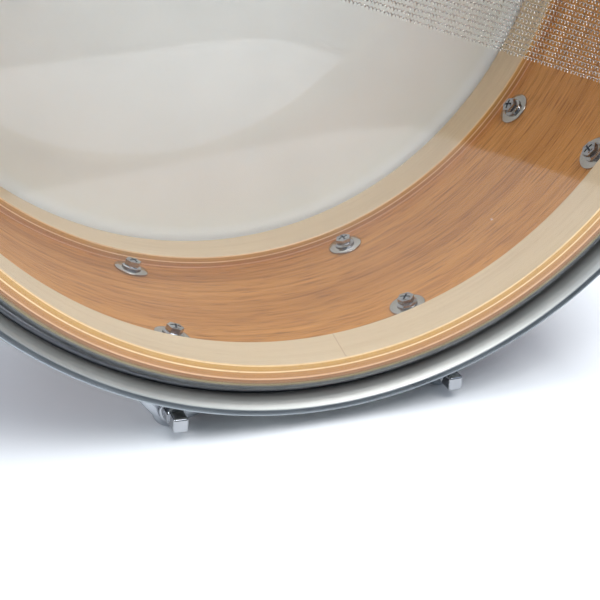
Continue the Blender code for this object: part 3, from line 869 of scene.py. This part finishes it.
knob_outline = [
    (0, -6 * MM),
    (1.9 * MM, -6 * MM),
    (1.9 * MM, -14.6 * MM),
    (5.4 * MM, -14.6 * MM),
    (5.4 * MM, -26 * MM),
    (0, -26 * MM),
]
knob_mesh = lathe(filleted(knob_outline, 0.6 * MM, 3, around=False), 48, around=False)
FLUTES = 16
flute = moved(rod_mesh(0.7 * MM, -24 * MM, -16.5 * MM, 12), shift(5.2 * MM, 0, 0))
flutes = [moved(flute, Matrix.Rotation(math.tau * k / FLUTES, 4, "Z")) for k in range(FLUTES)]
knob_mesh = gathered([knob_mesh, *flutes])
knob_seat = STRAINER @ shift(182.5 * MM, 0, PIVOT_Z)
piece("tension_knob", knob_mesh, knob_seat, NICKEL, "strainer_knob", "strainer_knob")

butt_low = HALF_DEPTH - 50 * MM
butt_mesh = block((FOOT, 192.2 * MM), (-15 * MM, 15 * MM), (butt_low, butt_low + 26 * MM))
piece("butt_casting", shaped(butt_mesh, bevel=1.6 * MM, segments=4), BUTT, CHROME, "butt_base")
clamp_mesh = clamp_plate(butt_low + 12 * MM, butt_low + 23 * MM)
piece("butt_clamp_plate", clamp_mesh, BUTT, NICKEL, "butt_clamp")

# ---- Straps and snare wires -----------------------------------------------------------------------------
strap_material, strap_tree, strap_shader = principled("strap_polyester", 0.3, 0.0, (0.80, 0.83, 0.86))
strap_cloud = noise(strap_tree, object_place(strap_tree), (60, 60, 60), 3)
strap_tree.links.new(
    ramp(strap_tree, strap_cloud, [(0.3, (0.54, 0.565, 0.59)), (0.7, (0.62, 0.645, 0.67))]),
    strap_shader.inputs["Base Color"],
)
strap_roughness = remapped(strap_tree, strap_cloud, 0.3, 0.7, 0.22, 0.38)
strap_tree.links.new(strap_roughness, strap_shader.inputs["Roughness"])


def bent(points, steps=10):
    """A smooth line through these points, its corners rounded."""
    return filleted(points, 3.2 * MM, steps, around=False)


def strip(path, thickness):
    points = [Vector(point) for point in path]
    sides = []
    for i in range(len(points)):
        ahead = points[min(i + 1, len(points) - 1)] - points[max(i - 1, 0)]
        ahead.normalize()
        sides.append(Vector((-ahead.y, ahead.x)) * thickness / 2)
    left = [here + side for here, side in zip(points, sides)]
    right = [here - side for here, side in zip(points, sides)]
    return [tuple(point) for point in right + left[::-1]]


for name, where, tail in (("strap_strainer", STRAINER, 53.5 * MM), ("strap_butt", BUTT, 39.5 * MM)):
    strap_path = [
        (158.5 * MM, HALF_DEPTH + 2.6 * MM),
        (169.5 * MM, HALF_DEPTH + 2.6 * MM),
        (177.0 * MM, HALF_DEPTH + 1.7 * MM),
        (186.5 * MM, HALF_DEPTH - 0.6 * MM),
        (191.3 * MM, HALF_DEPTH - 3.2 * MM),
        (192.7 * MM, HALF_DEPTH - 7.5 * MM),
        (192.7 * MM, HALF_DEPTH - tail),
    ]
    strap = prism(strip(bent(strap_path), 0.35 * MM), -10 * MM, 10 * MM)
    strap = moved(strap, TO_Y)
    piece(name + "_film", strap, where, strap_material, name)

WIRE_Z = HALF_DEPTH + 0.65 * MM
COIL_RADIUS = 0.62 * MM
COIL_PITCH = 1.6 * MM
COIL_SIDES = 7
coil = bpy.data.curves.new("coil", "CURVE")
coil.dimensions = "3D"
coil.bevel_depth = 0.17 * MM
coil.bevel_resolution = 0
coil.use_fill_caps = True
half_length = 158 * MM
coil_points = int(2 * half_length / COIL_PITCH * COIL_SIDES)
spline = coil.splines.new("POLY")
spline.points.add(coil_points - 1)
for i, point in enumerate(spline.points):
    turn = math.tau * i / COIL_SIDES
    x = -half_length + 2 * half_length * i / (coil_points - 1)
    point.co = (x, COIL_RADIUS * math.cos(turn), COIL_RADIUS * math.sin(turn), 1)
coil_object = bpy.data.objects.new("coil", coil)
bpy.context.scene.collection.objects.link(coil_object)
coil_mesh = baked(coil_object)
bpy.data.objects.remove(coil_object)
wires_seat = radial(BUTT_ANGLE, SNARE)
for number in range(20):
    seat = wires_seat @ shift(0, (number - 9.5) * 2.1 * MM, WIRE_Z + COIL_RADIUS + 0.17 * MM)
    piece(f"snare_strand_{number + 1:02d}", coil_mesh, seat, WIRE, ())
plates = []
for low, high in ((-168, -157), (157, 168)):
    plate = block((low * MM, high * MM), (-21.5 * MM, 21.5 * MM), (WIRE_Z + 0.35 * MM, WIRE_Z + 1.5 * MM))
    plates.append(shaped(plate, bevel=0.3 * MM))
piece("snare_end_plates", gathered(plates), wires_seat, BRASS, "snare_wires")

# ---- Floor, light and camera --------------------------------------------------------------------------
floor_mesh = prism([(-6, -6), (6, -6), (6, 6), (-6, 6)], -0.01, -0.0002)
floor = bpy.data.objects.new("floor", floor_mesh)
bpy.context.scene.collection.objects.link(floor)
floor_material, floor_tree, floor_shader = principled("pale_floor", 0.35, 0.0, (0.80, 0.835, 0.87))
floor_cloud = noise(floor_tree, object_place(floor_tree), (6, 6, 6), 3)
floor_tree.links.new(
    ramp(floor_tree, floor_cloud, [(0.3, (0.87, 0.90, 0.93)), (0.7, (0.90, 0.925, 0.95))]),
    floor_shader.inputs["Base Color"],
)
floor_mesh.materials.append(floor_material)
floor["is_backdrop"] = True

# A dark card in front of the drum, which only reflections see
card_outline = [
    (0.352, -0.10),
    (0.21, -0.435),
    (0.16, -0.44),
    (0.017, -0.396),
    (-0.08, -0.368),
    (-1.02, -0.12),
    (-3.0, -0.12),
    (-3.0, -4.0),
    (3.0, -4.0),
    (3.0, -0.10),
]
card = bpy.data.objects.new("dark_card", prism(card_outline, 0.0, 0.0015))
bpy.context.scene.collection.objects.link(card)
card_material, _, _ = principled("dark_card", 0.9, 0.0, (0.05, 0.05, 0.055))
card.data.materials.append(card_material)
card.visible_camera = False
card.visible_diffuse = False
card.visible_shadow = False
card.visible_transmission = False
card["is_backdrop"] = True


def softbox(name, place, target, size, power, colour=(1, 1, 1)):
    light = bpy.data.lights.new(name, "AREA")
    light.shape = "RECTANGLE"
    light.size, light.size_y = size
    light.energy = power
    light.color = colour
    made = bpy.data.objects.new(name, light)
    bpy.context.scene.collection.objects.link(made)
    aim = Vector(target) - Vector(place)
    made.matrix_world = Matrix.Translation(place) @ aim.to_track_quat("-Z", "Y").to_matrix().to_4x4()
    return made


softbox("overhead", (0.45, 0.05, 2.4), (0, 0, 0.1), (2.6, 1.9), 68)
softbox("front_fill", (0.25, -1.45, 2.15), (0, 0, 0.1), (1.5, 1.1), 33)
softbox("low_fill", (-1.3, -0.05, 0.7), (-0.15, -0.12, 0.0), (0.9, 0.6), 9, (0.92, 0.96, 1.0))

# The room: bright overhead, dim near the horizon, and even for soft light
world = bpy.data.worlds.new("studio")
world.use_nodes = True
tree = world.node_tree
place = add(tree, "ShaderNodeTexCoord").outputs["Generated"]
height_up = add(tree, "ShaderNodeSeparateXYZ", {"Vector": place}).outputs["Z"]
sky_stops = [
    (0.0, (0.35, 0.37, 0.40)),
    (0.50, (0.10, 0.105, 0.115)),
    (0.62, (0.10, 0.105, 0.115)),
    (0.78, (0.66, 0.76, 0.92)),
    (1.0, (0.84, 0.93, 1.08)),
]
sky = ramp(tree, remapped(tree, height_up, -1, 1, 0, 1), sky_stops)
soft = add(tree, "ShaderNodeLightPath").outputs["Is Diffuse Ray"]
sky = mixed(tree, soft, sky, (0.52, 0.57, 0.65))
seen = add(tree, "ShaderNodeLightPath").outputs["Is Camera Ray"]
tree.links.new(mixed(tree, seen, sky, (0.80, 0.85, 0.90)), tree.nodes["Background"].inputs["Color"])
tree.nodes["Background"].inputs["Strength"].default_value = 0.97
bpy.context.scene.world = world
bpy.context.scene.view_settings.view_transform = "Standard"

CAMERA_RIGHT = Vector((0.937, -0.34933, 0.0337))
CAMERA_UP = Vector((0.116, 0.39959, 0.9094))
camera_data = bpy.data.cameras.new("camera")
camera_data.lens = 76.09
camera_data.sensor_width = 36
camera_data.shift_y = -1 / 600
camera_data.clip_start = 0.01
camera = bpy.data.objects.new("camera", camera_data)
bpy.context.scene.collection.objects.link(camera)
right = CAMERA_RIGHT.normalized()
back = right.cross(CAMERA_UP).normalized()
up = back.cross(right)
near_ring_front = -(HALF_DEPTH - RING_SETBACK)
stand_at = Vector((-0.1733, near_ring_front - 0.4178, AXIS_HEIGHT + 0.0673))
camera.matrix_world = Matrix.Translation(stand_at) @ Matrix((right, up, back)).transposed().to_4x4()
bpy.context.scene.camera = camera

low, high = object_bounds()
